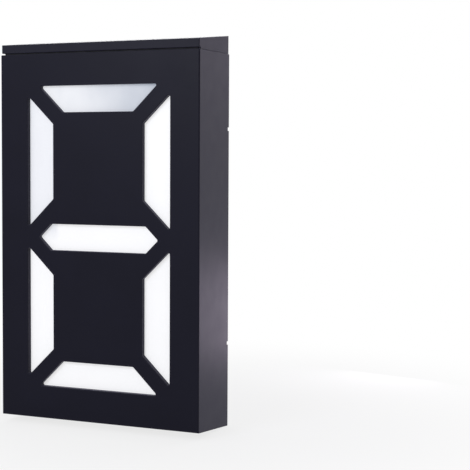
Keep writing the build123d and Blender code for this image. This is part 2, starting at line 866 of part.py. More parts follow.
# ---- leads: routes of (X, depth, Z) points, chosen by hand between the ends ----
def lead(points):
    """A round lead along straight runs joined by arcs as large as the runs allow."""
    path_points = [Vector(x, -depth, z) for x, depth, z in points]
    runs = [b - a for a, b in zip(path_points, path_points[1:])]
    radii = []
    for first, second in zip(runs, runs[1:]):
        half_turn = math.radians(first.get_angle(second)) / 2
        radii.append(lead_bend_share * min(first.length, second.length) / math.tan(half_turn))
    path = FilletPolyline(*path_points, radius=radii)
    print("lead radii", [round(radius, 1) for radius in radii], "length", round(path.length, 1))
    start = Plane(origin=path @ 0, z_dir=path % 0)
    tube = sweep(start * Circle(lead_radius), path=path)
    wanted = math.pi * lead_radius ** 2 * path.length
    print("  volume share", round(tube.volume / wanted, 3))
    return tube


def shifted(points, x=0.0):
    return [(px + x, pd, pz) for px, pd, pz in points]


def panel_leads():
    depth = panel_lead_depth
    bottom = plug_z + plug_socket_height + plug_head
    top = lid_top(depth) - panel_stack
    return [(plug_x, depth, bottom), (plug_x, depth, bottom + 4), (plug_x + 0.8, depth - 0.8, top - 4),
            (plug_x + 0.8, depth - 0.8, top)]


def panel_lead_red():
    return lead(shifted(panel_leads(), x=-lead_spacing / 2))


def panel_lead_black():
    return lead(shifted(panel_leads(), x=lead_spacing / 2))


socket_depth = control_back - socket_size[2] / 2
battery_plug_top = control_centre + control_half_height + plug_proud
switch_plug_low = control_centre - control_half_height - plug_proud
solder_z = holder_base + holder_side_height / 2


def battery_lead_red():
    x = battery_socket_x + lead_spacing / 2
    return lead([(x, socket_depth, battery_plug_top), (x, socket_depth, battery_plug_top + 8),
                 (24, 16.5, 42), (33, 17.5, 54), (34, 14.5, 66),
                 (holder_half + 4.4, cell_depth, solder_z), (holder_half, cell_depth, solder_z)])


def battery_lead_black():
    x = battery_socket_x - lead_spacing / 2
    return lead([(x, socket_depth, battery_plug_top), (x, socket_depth, battery_plug_top + 9),
                 (-2, 17, 41), (-22, 18, 48), (-33, 17, 60),
                 (-holder_half - 4.4, cell_depth, solder_z), (-holder_half, cell_depth, solder_z)])


def switch_leads():
    terminal_top = switch_base + switch_body[2] + terminal_length
    route = [(switch_socket_x, socket_depth, switch_plug_low),
             (switch_socket_x, socket_depth, switch_plug_low - 7),
             (17, 15.5, -37), (19, 16, -55), (24, 13, -66)]
    leads = []
    for side, terminal_x in ((-1, switch_x), (1, switch_x + terminal_pitch)):
        end = [(terminal_x, switch_depth, terminal_top + 5.5), (terminal_x, switch_depth, terminal_top)]
        leads.append(lead(shifted(route, x=side * lead_spacing / 2) + end))
    return leads


parts = {
    "front_housing": front_housing, "rear_cover": rear_cover, "rear_seal": rear_seal,
    "keyhole_cups": keyhole_cups, "diffuser_panel": diffuser_panel, "segment_reflector": segment_reflector,
    "led_board": led_board, "segment_leds": segment_leds, "board_screws": board_screws,
    "solar_lid": solar_lid, "lid_seal": lid_seal, "panel_board": panel_board, "solar_cells": solar_cells,
    "panel_cover": panel_cover, "panel_plug": panel_plug, "panel_socket": panel_socket,
    "panel_lead_red": panel_lead_red, "panel_lead_black": panel_lead_black,
    "battery_holder": battery_holder, "battery_cell": battery_cell,
    "positive_contact": lambda: battery_contact(1), "negative_contact": lambda: battery_contact(-1),
    "holder_tape": holder_tape, "controller_board": controller_board, "board_standoffs": board_standoffs,
    "board_header": board_header, "driver_chip": driver_chip, "power_inductor": power_inductor,
    "capacitors": capacitors, "battery_socket": battery_socket, "battery_plug": battery_plug,
    "switch_socket": switch_socket, "switch_plug": switch_plug,
    "battery_lead_red": battery_lead_red, "battery_lead_black": battery_lead_black,
    "switch_leads": switch_leads, "switch_case": switch_case, "switch_knob": switch_knob,
    "switch_screws": switch_screws,
}

os.makedirs("parts", exist_ok=True)
for name, make in parts.items():
    shape = make()
    if isinstance(shape, list):
        shape = Compound(children=shape)
    export_step(shape, f"parts/{name}.step")
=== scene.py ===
"""Looks of the solar house number sign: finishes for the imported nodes, and small pieces modelled here.

Metres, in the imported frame: +X right as seen from the front, +Z up, -Y out of the wall.
"""
import json
import math

import bmesh
import bpy
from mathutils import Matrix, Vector

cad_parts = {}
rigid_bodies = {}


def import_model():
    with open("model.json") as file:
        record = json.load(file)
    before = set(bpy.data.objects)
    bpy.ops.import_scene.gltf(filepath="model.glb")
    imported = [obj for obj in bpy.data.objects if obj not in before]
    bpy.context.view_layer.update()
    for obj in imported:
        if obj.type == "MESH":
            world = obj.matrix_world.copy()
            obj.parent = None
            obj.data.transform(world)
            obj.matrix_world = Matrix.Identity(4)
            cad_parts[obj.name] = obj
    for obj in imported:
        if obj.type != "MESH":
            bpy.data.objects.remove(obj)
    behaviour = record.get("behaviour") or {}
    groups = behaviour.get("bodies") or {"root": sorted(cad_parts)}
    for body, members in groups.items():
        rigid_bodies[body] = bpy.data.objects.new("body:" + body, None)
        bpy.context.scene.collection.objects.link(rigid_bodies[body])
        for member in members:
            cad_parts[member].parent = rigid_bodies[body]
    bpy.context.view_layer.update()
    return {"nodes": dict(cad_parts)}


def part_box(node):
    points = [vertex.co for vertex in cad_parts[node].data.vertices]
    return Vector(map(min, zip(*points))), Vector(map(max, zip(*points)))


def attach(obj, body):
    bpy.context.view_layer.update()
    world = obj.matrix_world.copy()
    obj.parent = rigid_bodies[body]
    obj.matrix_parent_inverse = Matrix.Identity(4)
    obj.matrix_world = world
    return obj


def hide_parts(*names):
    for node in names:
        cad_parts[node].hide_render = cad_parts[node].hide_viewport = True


bpy.ops.object.select_all(action="SELECT")
bpy.ops.object.delete()

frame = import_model()
nodes = frame["nodes"]

MM = 0.001
ALONG_X = Vector((1, 0, 0))
TO_WALL = Vector((0, 1, 0))
UP = Vector((0, 0, 1))
DOWN = Vector((0, 0, -1))

# a face looks along an axis when its normal has more than this share of it
FACING = 0.9

# noise seldom leaves these ranges, the narrow one for sharper patches
NARROW = (0.35, 0.65)
WIDE = (0.3, 0.7)

# sockets of a node that mixes two colours
FIRST_COLOUR = 6
SECOND_COLOUR = 7
MIXED_COLOUR = 2


# ---- finishes ----
class Finish:
    """One material: its shader, and short ways to add the nodes that vary it."""

    def __init__(self, name, colour, roughness, metallic=0.0, specular=0.5):
        self.material = bpy.data.materials.new(name)
        self.material.use_nodes = True
        self.nodes = self.material.node_tree.nodes
        self.links = self.material.node_tree.links
        self.shader = self.nodes["Principled BSDF"]
        self.colour = colour
        self.roughness = roughness
        self.set("Base Color", colour)
        self.set("Roughness", roughness)
        self.set("Metallic", metallic)
        self.set("Specular IOR Level", specular)
        self.place = self.nodes.new("ShaderNodeTexCoord").outputs["Object"]
        self.relief = None

    def feed(self, node, socket, value):
        """Puts a number, a colour or another node's output on a socket."""
        if isinstance(value, bpy.types.NodeSocket):
            self.links.new(value, node.inputs[socket])
        elif isinstance(value, tuple):
            node.inputs[socket].default_value = (*value, 1.0)
        else:
            node.inputs[socket].default_value = value

    def set(self, socket, value):
        """Gives the shader one value all over, or a pattern's value from place to place."""
        self.feed(self.shader, socket, value)

    def stretched(self, stretch):
        """The place on the surface, scaled by axis: a scale below 1 draws a pattern out along its axis."""
        if stretch is None:
            return self.place
        node = self.nodes.new("ShaderNodeMapping")
        node.inputs["Scale"].default_value = stretch
        self.links.new(self.place, node.inputs["Vector"])
        return node.outputs["Vector"]

    def noise(self, patch, detail=2.0, stretch=None):
        """A cloudy pattern with patches of about this size."""
        node = self.nodes.new("ShaderNodeTexNoise")
        node.inputs["Scale"].default_value = 1.0 / patch
        node.inputs["Detail"].default_value = detail
        self.links.new(self.stretched(stretch), node.inputs["Vector"])
        return node.outputs["Fac"]

    def cells(self, patch, output):
        """A pattern of cells of about this size: a Color for each, or the Distance to its middle."""
        node = self.nodes.new("ShaderNodeTexVoronoi")
        node.inputs["Scale"].default_value = 1.0 / patch
        self.links.new(self.place, node.inputs["Vector"])
        return node.outputs[output]

    def axis(self, letter):
        """The X, Y or Z place of a point of the surface."""
        node = self.nodes.new("ShaderNodeSeparateXYZ")
        self.links.new(self.place, node.inputs["Vector"])
        return node.outputs[letter]

    def maths(self, operation, first, second=0.0):
        """Joins two patterns or numbers by a named operation."""
        node = self.nodes.new("ShaderNodeMath")
        node.operation = operation
        self.feed(node, 0, first)
        self.feed(node, 1, second)
        return node.outputs["Value"]

    def spread(self, value, start, end, low=0.0, high=1.0):
        """Maps start..end of a pattern onto low..high."""
        node = self.nodes.new("ShaderNodeMapRange")
        self.feed(node, "Value", value)
        node.inputs["From Min"].default_value = start
        node.inputs["From Max"].default_value = end
        node.inputs["To Min"].default_value = low
        node.inputs["To Max"].default_value = high
        return node.outputs["Result"]

    def blend(self, share, first, second):
        """The first colour where the share is 0, the second where it is 1."""
        node = self.nodes.new("ShaderNodeMix")
        node.data_type = "RGBA"
        self.feed(node, 0, share)
        self.feed(node, FIRST_COLOUR, first)
        self.feed(node, SECOND_COLOUR, second)
        return node.outputs[MIXED_COLOUR]

    def lines(self, letter, pitch, width, offset=0.0):
        """1 on thin lines square to an axis, 0 between them."""
        shifted = self.maths("ADD", self.axis(letter), offset)
        share = self.maths("FRACT", self.maths("DIVIDE", shifted, pitch))
        from_middle = self.maths("ABSOLUTE", self.maths("SUBTRACT", share, 0.5))
        half = width / pitch / 2
        blur = 0.2
        return self.spread(from_middle, half * (1 - blur), half * (1 + blur), 1.0, 0.0)

    def between(self, letter, low, high):
        """1 between two places along an axis, 0 outside them."""
        blur = 0.05 * MM
        place = self.axis(letter)
        above = self.spread(place, low - blur, low + blur)
        below = self.spread(place, high - blur, high + blur, 1.0, 0.0)
        return self.maths("MULTIPLY", above, below)

    def edges(self, radius):
        """1 where a corner is near, 0 on the flats."""
        at_corner = 0.93
        on_flat = 0.995
        rounded = self.nodes.new("ShaderNodeBevel")
        rounded.samples = 4
        rounded.inputs["Radius"].default_value = radius
        plain = self.nodes.new("ShaderNodeNewGeometry").outputs["Normal"]
        turn = self.nodes.new("ShaderNodeVectorMath")
        turn.operation = "DOT_PRODUCT"
        self.links.new(rounded.outputs["Normal"], turn.inputs[0])
        self.links.new(plain, turn.inputs[1])
        return self.spread(turn.outputs["Value"], at_corner, on_flat, 1.0, 0.0)

    def mottle(self, patch, darker, lighter):
        """The finish's own colour, a little darker and lighter in soft patches."""
        dark = tuple(part * darker for part in self.colour)
        light = tuple(part * lighter for part in self.colour)
        cloud = self.spread(self.noise(patch, detail=3.0), *NARROW)
        return self.blend(cloud, dark, light)

    def vary_roughness(self, patch, swing, stretch=None):
        """Duller and glossier patches about the finish's own roughness."""
        smoothest = 0.02
        cloud = self.noise(patch, detail=3.0, stretch=stretch)
        low = max(self.roughness - swing, smoothest)
        high = min(self.roughness + swing, 1.0)
        self.set("Roughness", self.spread(cloud, *WIDE, low, high))

    def emboss(self, height, depth, strength):
        """Adds a relief of this depth on top of any earlier one."""
        node = self.nodes.new("ShaderNodeBump")
        node.inputs["Strength"].default_value = strength
        node.inputs["Distance"].default_value = depth
        self.links.new(height, node.inputs["Height"])
        if self.relief is not None:
            self.links.new(self.relief, node.inputs["Normal"])
        self.relief = node.outputs["Normal"]
        self.set("Normal", self.relief)


def moulded_black(name, colour, roughness, specular, edge_highlight_tone):
    """Fine-grained moulded plastic with a painted highlight on its edges, lighter in patches."""
    finish = Finish(name, colour, roughness, specular=specular)
    # painted highlight: near corners the colour turns lighter, in patches, as if the edges caught the light
    edge_highlight_patches = finish.spread(finish.noise(6 * MM), *WIDE, 0.5, 1.0)
    painted_edge_highlight = finish.maths("MULTIPLY", finish.edges(0.4 * MM), edge_highlight_patches)
    flats = finish.mottle(35 * MM, 0.93, 1.07)
    finish.set("Base Color", finish.blend(painted_edge_highlight, flats, edge_highlight_tone))
    finish.vary_roughness(9 * MM, 0.02)
    violet_bloom = (0.3, 0.2, 1.0)
    finish.set("Sheen Weight", 0.06)
    finish.set("Sheen Tint", violet_bloom)
    sink_marks = finish.noise(12 * MM)
    finish.emboss(sink_marks, 0.04 * MM, 0.12)
    grain = finish.noise(0.55 * MM, detail=3.0)
    finish.emboss(grain, 0.01 * MM, 0.8)
    return finish.material


def seal_rubber():
    """Dull black rubber of the two seals."""
    finish = Finish("soft_black_rubber", (0.026, 0.026, 0.029), 0.82, specular=0.25)
    finish.set("Base Color", finish.mottle(4 * MM, 0.8, 1.25))
    finish.vary_roughness(3 * MM, 0.08)
    finish.emboss(finish.noise(0.4 * MM), 0.02 * MM, 0.7)
    return finish.material


def cup_plastic():
    """Plain grey plastic of the cups behind the keyholes."""
    finish = Finish("grey_cup_plastic", (0.29, 0.285, 0.3), 0.5, specular=0.35)
    finish.set("Base Color", finish.mottle(10 * MM, 0.88, 1.1))
    finish.vary_roughness(5 * MM, 0.08)
    finish.emboss(finish.noise(0.6 * MM), 0.01 * MM, 0.6)
    return finish.material


def opal_acrylic():
    """The figure's milky panel, lit evenly from behind, with painted shade that dims its top and upper left
    bars.
    """
    finish = Finish("opal_acrylic", (0.5, 0.5, 0.5), 0.4, specular=0.35)
    bright = (0.59, 0.59, 0.592)
    # painted shade: the next two colours darken parts of the even glow
    painted_shade_cool = (0.465, 0.475, 0.5)
    painted_shade_colour = (0.15, 0.183, 0.235)
    x = finish.axis("X")
    z = finish.axis("Z")
    # the top bar lies above both of its slanting ends, and its painted shade deepens from left to right
    above_slants = finish.maths("SUBTRACT", z, finish.maths("ABSOLUTE", x))
    top_bar = finish.spread(above_slants, 38.5 * MM, 40.5 * MM)
    to_right = finish.spread(x, -42 * MM, 30 * MM)
    clouds = finish.noise(16 * MM, stretch=(1.0, 1.0, 0.6))
    streaks = finish.spread(clouds, *NARROW, -0.08, 0.08)
    painted_shade_right = finish.maths("MULTIPLY", top_bar, finish.maths("ADD", to_right, streaks))
    # the upper left bar carries painted shade, a little dimmer and cooler than the rest
    left_bars = finish.spread(x, -22.5 * MM, -24.5 * MM)
    upper_half = finish.spread(z, 0.0, 6 * MM)
    left_upper = finish.maths("MULTIPLY", left_bars, upper_half)
    painted_shade_left = finish.maths("MULTIPLY", left_upper, finish.maths("SUBTRACT", 1.0, top_bar))
    glow = finish.blend(painted_shade_right, finish.blend(painted_shade_left, bright, painted_shade_cool), painted_shade_colour)
    finish.set("Emission Color", glow)
    finish.set("Emission Strength", 1.0)
    finish.set("Base Color", finish.mottle(20 * MM, 0.985, 1.015))
    finish.vary_roughness(12 * MM, 0.05)
    finish.emboss(finish.noise(1.2 * MM), 0.008 * MM, 0.5)
    return finish.material


def reflector_plastic():
    """Satin white plastic that divides the light between the bars."""
    finish = Finish("white_reflector_plastic", (0.8, 0.8, 0.79), 0.35)
    finish.set("Base Color", finish.mottle(20 * MM, 0.95, 1.02))
    finish.vary_roughness(6 * MM, 0.07)
    finish.emboss(finish.noise(0.8 * MM), 0.01 * MM, 0.5)
    return finish.material


def lamp_board_mask():
    """White solder mask over copper runs that show as a faint relief."""
    finish = Finish("white_lamp_board", (0.74, 0.75, 0.73), 0.38)
    run_width = 1.1 * MM
    upright_runs = finish.lines("X", 15.5 * MM, run_width)
    level_runs = finish.lines("Z", 25.1 * MM, run_width, 10.4 * MM)
    runs = finish.maths("MAXIMUM", upright_runs, level_runs)
    faint_runs = finish.maths("MULTIPLY", runs, 0.35)
    mask = finish.mottle(18 * MM, 0.96, 1.03)
    finish.set("Base Color", finish.blend(faint_runs, mask, (0.62, 0.65, 0.58)))
    finish.vary_roughness(4 * MM, 0.06)
    finish.emboss(runs, 0.04 * MM, 0.8)
    finish.emboss(finish.noise(0.6 * MM), 0.006 * MM, 0.6)
    return finish.material


def led_housing():
    """White resin cup of a light-emitting diode."""
    finish = Finish("led_housing_white", (0.78, 0.78, 0.76), 0.4)
    finish.set("Base Color", finish.mottle(1.5 * MM, 0.93, 1.04))
    finish.vary_roughness(0.8 * MM, 0.08)
    return finish.material


def led_phosphor():
    """The soft yellow filling that turns a blue chip's light white."""
    finish = Finish("led_phosphor", (0.82, 0.62, 0.1), 0.28)
    finish.set("Base Color", finish.mottle(0.9 * MM, 0.85, 1.1))
    finish.set("Coat Weight", 0.4)
    finish.emboss(finish.noise(0.3 * MM), 0.008 * MM, 0.7)
    return finish.material


def bright_metal(name, colour, roughness, stretch):
    """Plated or drawn metal with dull patches and fine marks, drawn out as the stretch says."""
    scratch = 0.6 * MM
    finish = Finish(name, colour, roughness, metallic=1.0)
    finish.set("Base Color", finish.mottle(3 * MM, 0.85, 1.06))
    finish.vary_roughness(scratch, 0.09, stretch)
    finish.emboss(finish.noise(scratch, stretch=stretch), 0.008 * MM, 0.6)
    return finish.material


def panel_laminate():
    """Black glass-fibre board under the solar cells, with its weave just visible."""
    finish = Finish("black_panel_laminate", (0.012, 0.013, 0.014), 0.4, specular=0.4)
    thread_pitch = 0.8 * MM
    thread = 0.5 * MM
    warp = finish.lines("X", thread_pitch, thread)
    weft = finish.lines("Y", thread_pitch, thread)
    weave = finish.maths("MULTIPLY", warp, weft)
    finish.set("Base Color", finish.blend(weave, finish.mottle(10 * MM, 0.85, 1.1), (0.02, 0.021, 0.022)))
    finish.vary_roughness(6 * MM, 0.06)
    finish.emboss(weave, 0.015 * MM, 0.7)
    return finish.material


def solar_silicon(cell_pitch):
    """Blue-black silicon with flakes, silver collector lines and a wider line down each cell."""
    silicon_roughness = 0.3
    silver_roughness = 0.42
    finish = Finish("solar_silicon", (0.006, 0.012, 0.04), silicon_roughness, specular=0.12)
    flake = finish.spread(finish.cells(3.2 * MM, "Color"), 0.1, 0.9)
    silicon = finish.blend(flake, (0.003, 0.006, 0.02), (0.007, 0.014, 0.042))
    thin = finish.lines("Y", 2.1 * MM, 0.09 * MM)
    wide = finish.lines("X", cell_pitch, 0.8 * MM)
    silver = finish.maths("MAXIMUM", thin, wide)
    finish.set("Base Color", finish.blend(silver, silicon, (0.42, 0.43, 0.45)))
    finish.set("Metallic", finish.spread(silver, 0.0, 1.0, 0.0, 0.9))
    finish.set("Roughness", finish.spread(silver, 0.0, 1.0, silicon_roughness, silver_roughness))
    finish.emboss(silver, 0.01 * MM, 0.8)
    finish.emboss(finish.noise(1 * MM), 0.004 * MM, 0.5)
    return finish.material


def clear_resin():
    """The thin clear layer over the cells."""
    finish = Finish("clear_panel_resin", (0.96, 0.97, 0.98), 0.1, specular=0.2)
    finish.set("Transmission Weight", 1.0)
    finish.set("IOR", 1.22)
    finish.vary_roughness(12 * MM, 0.035)
    finish.emboss(finish.noise(8 * MM), 0.02 * MM, 0.4)
    return finish.material


def connector_nylon():
    """Uncoloured nylon of the plugs, sockets and standoffs, with a little light passing into it."""
    finish = Finish("natural_nylon", (0.72, 0.69, 0.6), 0.42)
    finish.set("Base Color", finish.mottle(3 * MM, 0.93, 1.04))
    finish.vary_roughness(2 * MM, 0.07)
    finish.set("Subsurface Weight", 0.08)
    finish.set("Subsurface Scale", 0.6 * MM)
    finish.emboss(finish.noise(0.5 * MM), 0.01 * MM, 0.6)
    return finish.material


def lead_insulation(name, colour):
    """Smooth soft insulation with slight scuffs."""
    finish = Finish(name, colour, 0.38, specular=0.45)
    finish.set("Base Color", finish.mottle(4 * MM, 0.82, 1.15))
    finish.vary_roughness(1.5 * MM, 0.1)
    finish.emboss(finish.noise(0.7 * MM), 0.01 * MM, 0.6)
    return finish.material


def cell_sleeve():
    """Shrunk plastic sleeve of the battery cell, with faint draw lines round it."""
    finish = Finish("green_shrink_sleeve", (0.035, 0.21, 0.07), 0.3)
    finish.set("Base Color", finish.mottle(12 * MM, 0.9, 1.08))
    finish.vary_roughness(5 * MM, 0.07)
    finish.set("Coat Weight", 0.25)
    draw_lines = finish.noise(1.6 * MM, stretch=(1.0, 0.25, 0.25))
    finish.emboss(draw_lines, 0.02 * MM, 0.6)
    return finish.material


def foam_tape():
    """White foam whose pores show as small pits, with painted shade darkening them."""
    finish = Finish("white_foam_tape", (0.66, 0.65, 0.62), 0.92, specular=0.2)
    pores = finish.cells(0.5 * MM, "Distance")
    # painted shade: the colour darkens towards the middle of each pore
    pore_shade_fade = finish.spread(pores, 0.1, 0.6)
    finish.set("Base Color", finish.blend(pore_shade_fade, (0.5, 0.49, 0.46), (0.72, 0.71, 0.68)))
    finish.emboss(pores, 0.12 * MM, 0.9)
    return finish.material


def controller_mask():
    """Green solder mask with copper runs and tinned through holes."""
    finish = Finish("green_controller_mask", (0.012, 0.12, 0.045), 0.3)
    run_width = 0.5 * MM
    across_where = finish.spread(finish.cells(11 * MM, "Color"), 0.45, 0.5)
    across = finish.maths("MULTIPLY", finish.lines("Z", 2.1 * MM, run_width), across_where)
    along_where = finish.spread(finish.cells(13 * MM, "Color"), 0.5, 0.55, 1.0, 0.0)
    along = finish.maths("MULTIPLY", finish.lines("X", 2.6 * MM, run_width), along_where)
    runs = finish.maths("MAXIMUM", across, along)
    hole = 0.7 * MM
    hole_columns = finish.lines("X", 5.2 * MM, hole, 1.3 * MM)
    hole_rows = finish.lines("Z", 4.2 * MM, hole, 1 * MM)
    holes = finish.maths("MULTIPLY", hole_columns, hole_rows)
    mask = finish.blend(runs, finish.mottle(10 * MM, 0.85, 1.12), (0.03, 0.2, 0.07))
    finish.set("Base Color", finish.blend(holes, mask, (0.62, 0.61, 0.58)))
    finish.set("Metallic", finish.spread(holes, 0.0, 1.0, 0.0, 0.9))
    finish.vary_roughness(4 * MM, 0.07)
    finish.emboss(finish.maths("MAXIMUM", runs, holes), 0.04 * MM, 0.8)
    return finish.material


def header_finish(pins_from, pins_to):
    """Black strip between the boards, whose pins are gilt where they pass through the controller's."""
    finish = Finish("header_strip", (0.014, 0.014, 0.015), 0.42)
    pins = finish.between("Y", pins_from, pins_to)
    finish.set("Base Color", finish.blend(pins, finish.mottle(3 * MM, 0.8, 1.2), (0.78, 0.6, 0.3)))
    finish.set("Metallic", pins)
    finish.vary_roughness(2 * MM, 0.08)
    finish.emboss(finish.noise(0.5 * MM), 0.01 * MM, 0.6)
    return finish.material


def chip_finish(body_low, body_high):
    """Matt black resin body with tinned feet above and below it."""
    finish = Finish("chip_resin", (0.015, 0.015, 0.016), 0.55, specular=0.35)
    body = finish.between("Z", body_low, body_high)
    finish.set("Base Color", finish.blend(body, (0.7, 0.69, 0.66), finish.mottle(1 * MM, 0.85, 1.2)))
    finish.set("Metallic", finish.spread(body, 0.0, 1.0, 1.0, 0.0))
    finish.vary_roughness(0.8 * MM, 0.1)
    finish.emboss(finish.noise(0.3 * MM), 0.01 * MM, 0.7)
    return finish.material


def ferrite():
    """Grey pressed ferrite with a gritty surface."""
    finish = Finish("grey_ferrite", (0.055, 0.055, 0.06), 0.6)
    finish.set("Base Color", finish.mottle(1 * MM, 0.75, 1.3))
    finish.vary_roughness(1.2 * MM, 0.12)
    finish.emboss(finish.noise(0.5 * MM, detail=3.0), 0.03 * MM, 0.8)
    return finish.material


def enamelled_copper():
    """Copper wire under a clear enamel."""
    finish = Finish("enamelled_copper", (0.62, 0.22, 0.09), 0.26, metallic=0.9)
    finish.set("Base Color", finish.mottle(1 * MM, 0.85, 1.1))
    finish.vary_roughness(0.7 * MM, 0.08)
    finish.set("Coat Weight", 0.5)
    return finish.material


def capacitor_sleeve(name, colour):
    """Thin shrunk sleeve round a capacitor's can."""
    finish = Finish(name, colour, 0.34)
    finish.set("Base Color", finish.mottle(3 * MM, 0.88, 1.12))
    finish.vary_roughness(2 * MM, 0.07)
    finish.emboss(finish.noise(0.9 * MM), 0.01 * MM, 0.5)
    return finish.material


# ---- hand tools for the pieces modelled here ----
def only(piece):
    """Selects one piece alone and makes it the active one."""
    bpy.ops.object.select_all(action="DESELECT")
    piece.select_set(True)
    bpy.context.view_layer.objects.active = piece


def begin(name, primitive, **place):
    """Adds a primitive at its place and opens it for editing."""
    bpy.ops.object.select_all(action="DESELECT")
    primitive(**place)
    piece = bpy.context.active_object
    piece.name = name
    piece.data.name = name
    bpy.ops.object.transform_apply(location=True, rotation=True, scale=True)
    bpy.ops.object.mode_set(mode="EDIT")
    return piece


def begin_block(name, low, high):
    """Begins a piece as the block between two corners."""
    return begin(name, bpy.ops.mesh.primitive_cube_add, size=1, location=(low + high) / 2, scale=high - low)


def close(piece):
    """Leaves editing and smooths the edges that turn by less than 35 degrees."""
    bpy.ops.object.mode_set(mode="OBJECT")
    bpy.ops.object.shade_smooth_by_angle(angle=math.radians(35.0))
    return piece


def choose_faces(piece, test):
    """Selects the faces whose middle and normal pass the test."""
    bpy.ops.mesh.select_mode(type="FACE")
    bpy.ops.mesh.select_all(action="DESELECT")
    sheet = bmesh.from_edit_mesh(piece.data)
    for face in sheet.faces:
        face.select_set(bool(test(face.calc_center_median(), face.normal)))
    bmesh.update_edit_mesh(piece.data)


def choose_edges(piece, test):
    """Selects the edges whose two ends pass the test."""
    bpy.ops.mesh.select_mode(type="EDGE")
    bpy.ops.mesh.select_all(action="DESELECT")
    sheet = bmesh.from_edit_mesh(piece.data)
    for edge in sheet.edges:
        edge.select_set(bool(test(edge.verts[0].co, edge.verts[1].co)))
    bmesh.update_edit_mesh(piece.data)


def slice_across(normal, place):
    """Cuts the open piece's faces by the plane at this place, and leaves both halves."""
    bpy.ops.mesh.select_all(action="SELECT")
    bpy.ops.mesh.bisect(plane_co=place, plane_no=normal)


def finish_faces(piece, material, test):
    """Gives the faces that pass the test a finish of their own."""
    only(piece)
    piece.data.materials.append(material)
    piece.active_material_index = len(piece.data.materials) - 1
    bpy.ops.object.mode_set(mode="EDIT")
    choose_faces(piece, test)
    bpy.ops.object.material_slot_assign()
    bpy.ops.object.mode_set(mode="OBJECT")


def off_axis(point, base, axis):
    """How far a point lies from the line through the base along the axis."""
    offset = point - base
    return (offset - axis * offset.dot(axis)).length


def turned(name, base, axis, outline, steps, material):
    """A turned piece: an outline of (distance along the axis, radius) points in mm, spun once."""
    side = ALONG_X if abs(axis.z) > FACING else UP
    points = [base + axis * along * MM + side * radius * MM for along, radius in outline]
    piece = begin(name, bpy.ops.mesh.primitive_plane_add, size=MM, location=points[0])
    bpy.ops.mesh.select_mode(type="VERT")
    bpy.ops.mesh.select_all(action="SELECT")
    bpy.ops.mesh.merge(type="CENTER")
    for before, after in zip(points, points[1:]):
        bpy.ops.mesh.extrude_vertices_move(TRANSFORM_OT_translate={"value": after - before})
    bpy.ops.mesh.select_all(action="SELECT")
    bpy.ops.mesh.spin(steps=steps, angle=math.tau, center=base, axis=axis)
    bpy.ops.mesh.select_all(action="SELECT")
    bpy.ops.mesh.remove_doubles(threshold=0.004 * MM)
    bpy.ops.mesh.normals_make_consistent(inside=False)
    piece.data.materials.append(material)
    return close(piece)


def cut_bar(piece, middle, size):
    """Cuts a square-sided bar out of a piece."""
    bpy.ops.object.select_all(action="DESELECT")
    bpy.ops.mesh.primitive_cube_add(size=1, location=middle, scale=size)
    bar = bpy.context.active_object
    bpy.ops.object.transform_apply(location=True, rotation=True, scale=True)
    only(piece)
    cut = piece.modifiers.new("bar", "BOOLEAN")
    cut.operation = "DIFFERENCE"
    cut.object = bar
    bpy.ops.object.modifier_apply(modifier=cut.name)
    bpy.data.objects.remove(bar)


def cut_cross(piece, middle, axis, reach, width, depth):
    """Cuts a cross-shaped recess of this depth into a flat end."""
    along = max(range(3), key=lambda index: abs(axis[index]))
    across = [index for index in range(3) if index != along]
    for long_way, short_way in (across, across[::-1]):
        size = [0.0, 0.0, 0.0]
        size[along] = 2 * depth
        size[long_way] = 2 * reach
        size[short_way] = width
        cut_bar(piece, middle, size)


def copies(piece, first, places):
    """The piece itself at its first place, and a copy with its own mesh at every other place."""
    row = [piece]
    for number, place in enumerate(places[1:], start=2):
        twin = piece.copy()
        twin.data = piece.data.copy()
        twin.name = f"{first}_{number}"
        twin.data.name = twin.name
        bpy.context.scene.collection.objects.link(twin)
        only(twin)
        bpy.ops.object.mode_set(mode="EDIT")
        bpy.ops.mesh.select_all(action="SELECT")
        bpy.ops.transform.translate(value=place - places[0])
        bpy.ops.object.mode_set(mode="OBJECT")
        row.append(twin)
    return row


def stand_for(pieces, node, body):
    """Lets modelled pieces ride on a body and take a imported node's place."""
    for piece in pieces:
        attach(piece, body)
        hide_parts(node)


def centres(node, count):
    """The middles of a node's separate solids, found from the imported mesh, in reading order."""
    decimals = 5
    copy = bmesh.new()
    copy.from_mesh(nodes[node].data)
    bmesh.ops.remove_doubles(copy, verts=copy.verts, dist=0.0005 * MM)
    left = set(copy.verts)
    found = []
    while left:
        group = [left.pop()]
        for vert in group:
            for edge in vert.link_edges:
                other = edge.other_vert(vert)
                if other in left:
                    left.discard(other)
                    group.append(other)
        low = Vector([min(vert.co[index] for vert in group) for index in range(3)])
        high = Vector([max(vert.co[index] for vert in group) for index in range(3)])
        found.append((low + high) / 2)
    copy.free()
    assert len(found) == count, (node, len(found))
    return sorted(found, key=lambda middle: (round(-middle.z, decimals), round(middle.x, decimals)))


# ---- materials made once ----
# the last colour given to each plastic is its painted edge highlight
case_black = moulded_black("case_plastic", (0.0075, 0.0075, 0.0145), 0.4, 0.095, (0.024, 0.024, 0.034))
lid_black = moulded_black("lid_plastic", (0.0165, 0.0165, 0.025), 0.42, 0.08, (0.035, 0.035, 0.045))
cover_black = moulded_black("cover_plastic", (0.0065, 0.0062, 0.0105), 0.48, 0.09, (0.02, 0.02, 0.027))
holder_black = moulded_black("holder_plastic", (0.012, 0.012, 0.013), 0.36, 0.4, (0.03, 0.03, 0.032))
knob_black = moulded_black("knob_plastic", (0.014, 0.014, 0.016), 0.42, 0.4, (0.035, 0.035, 0.038))
rubber = seal_rubber()
nylon = connector_nylon()
red_insulation = lead_insulation("red_insulation", (0.42, 0.012, 0.012))
black_insulation = lead_insulation("black_insulation", (0.012, 0.012, 0.013))

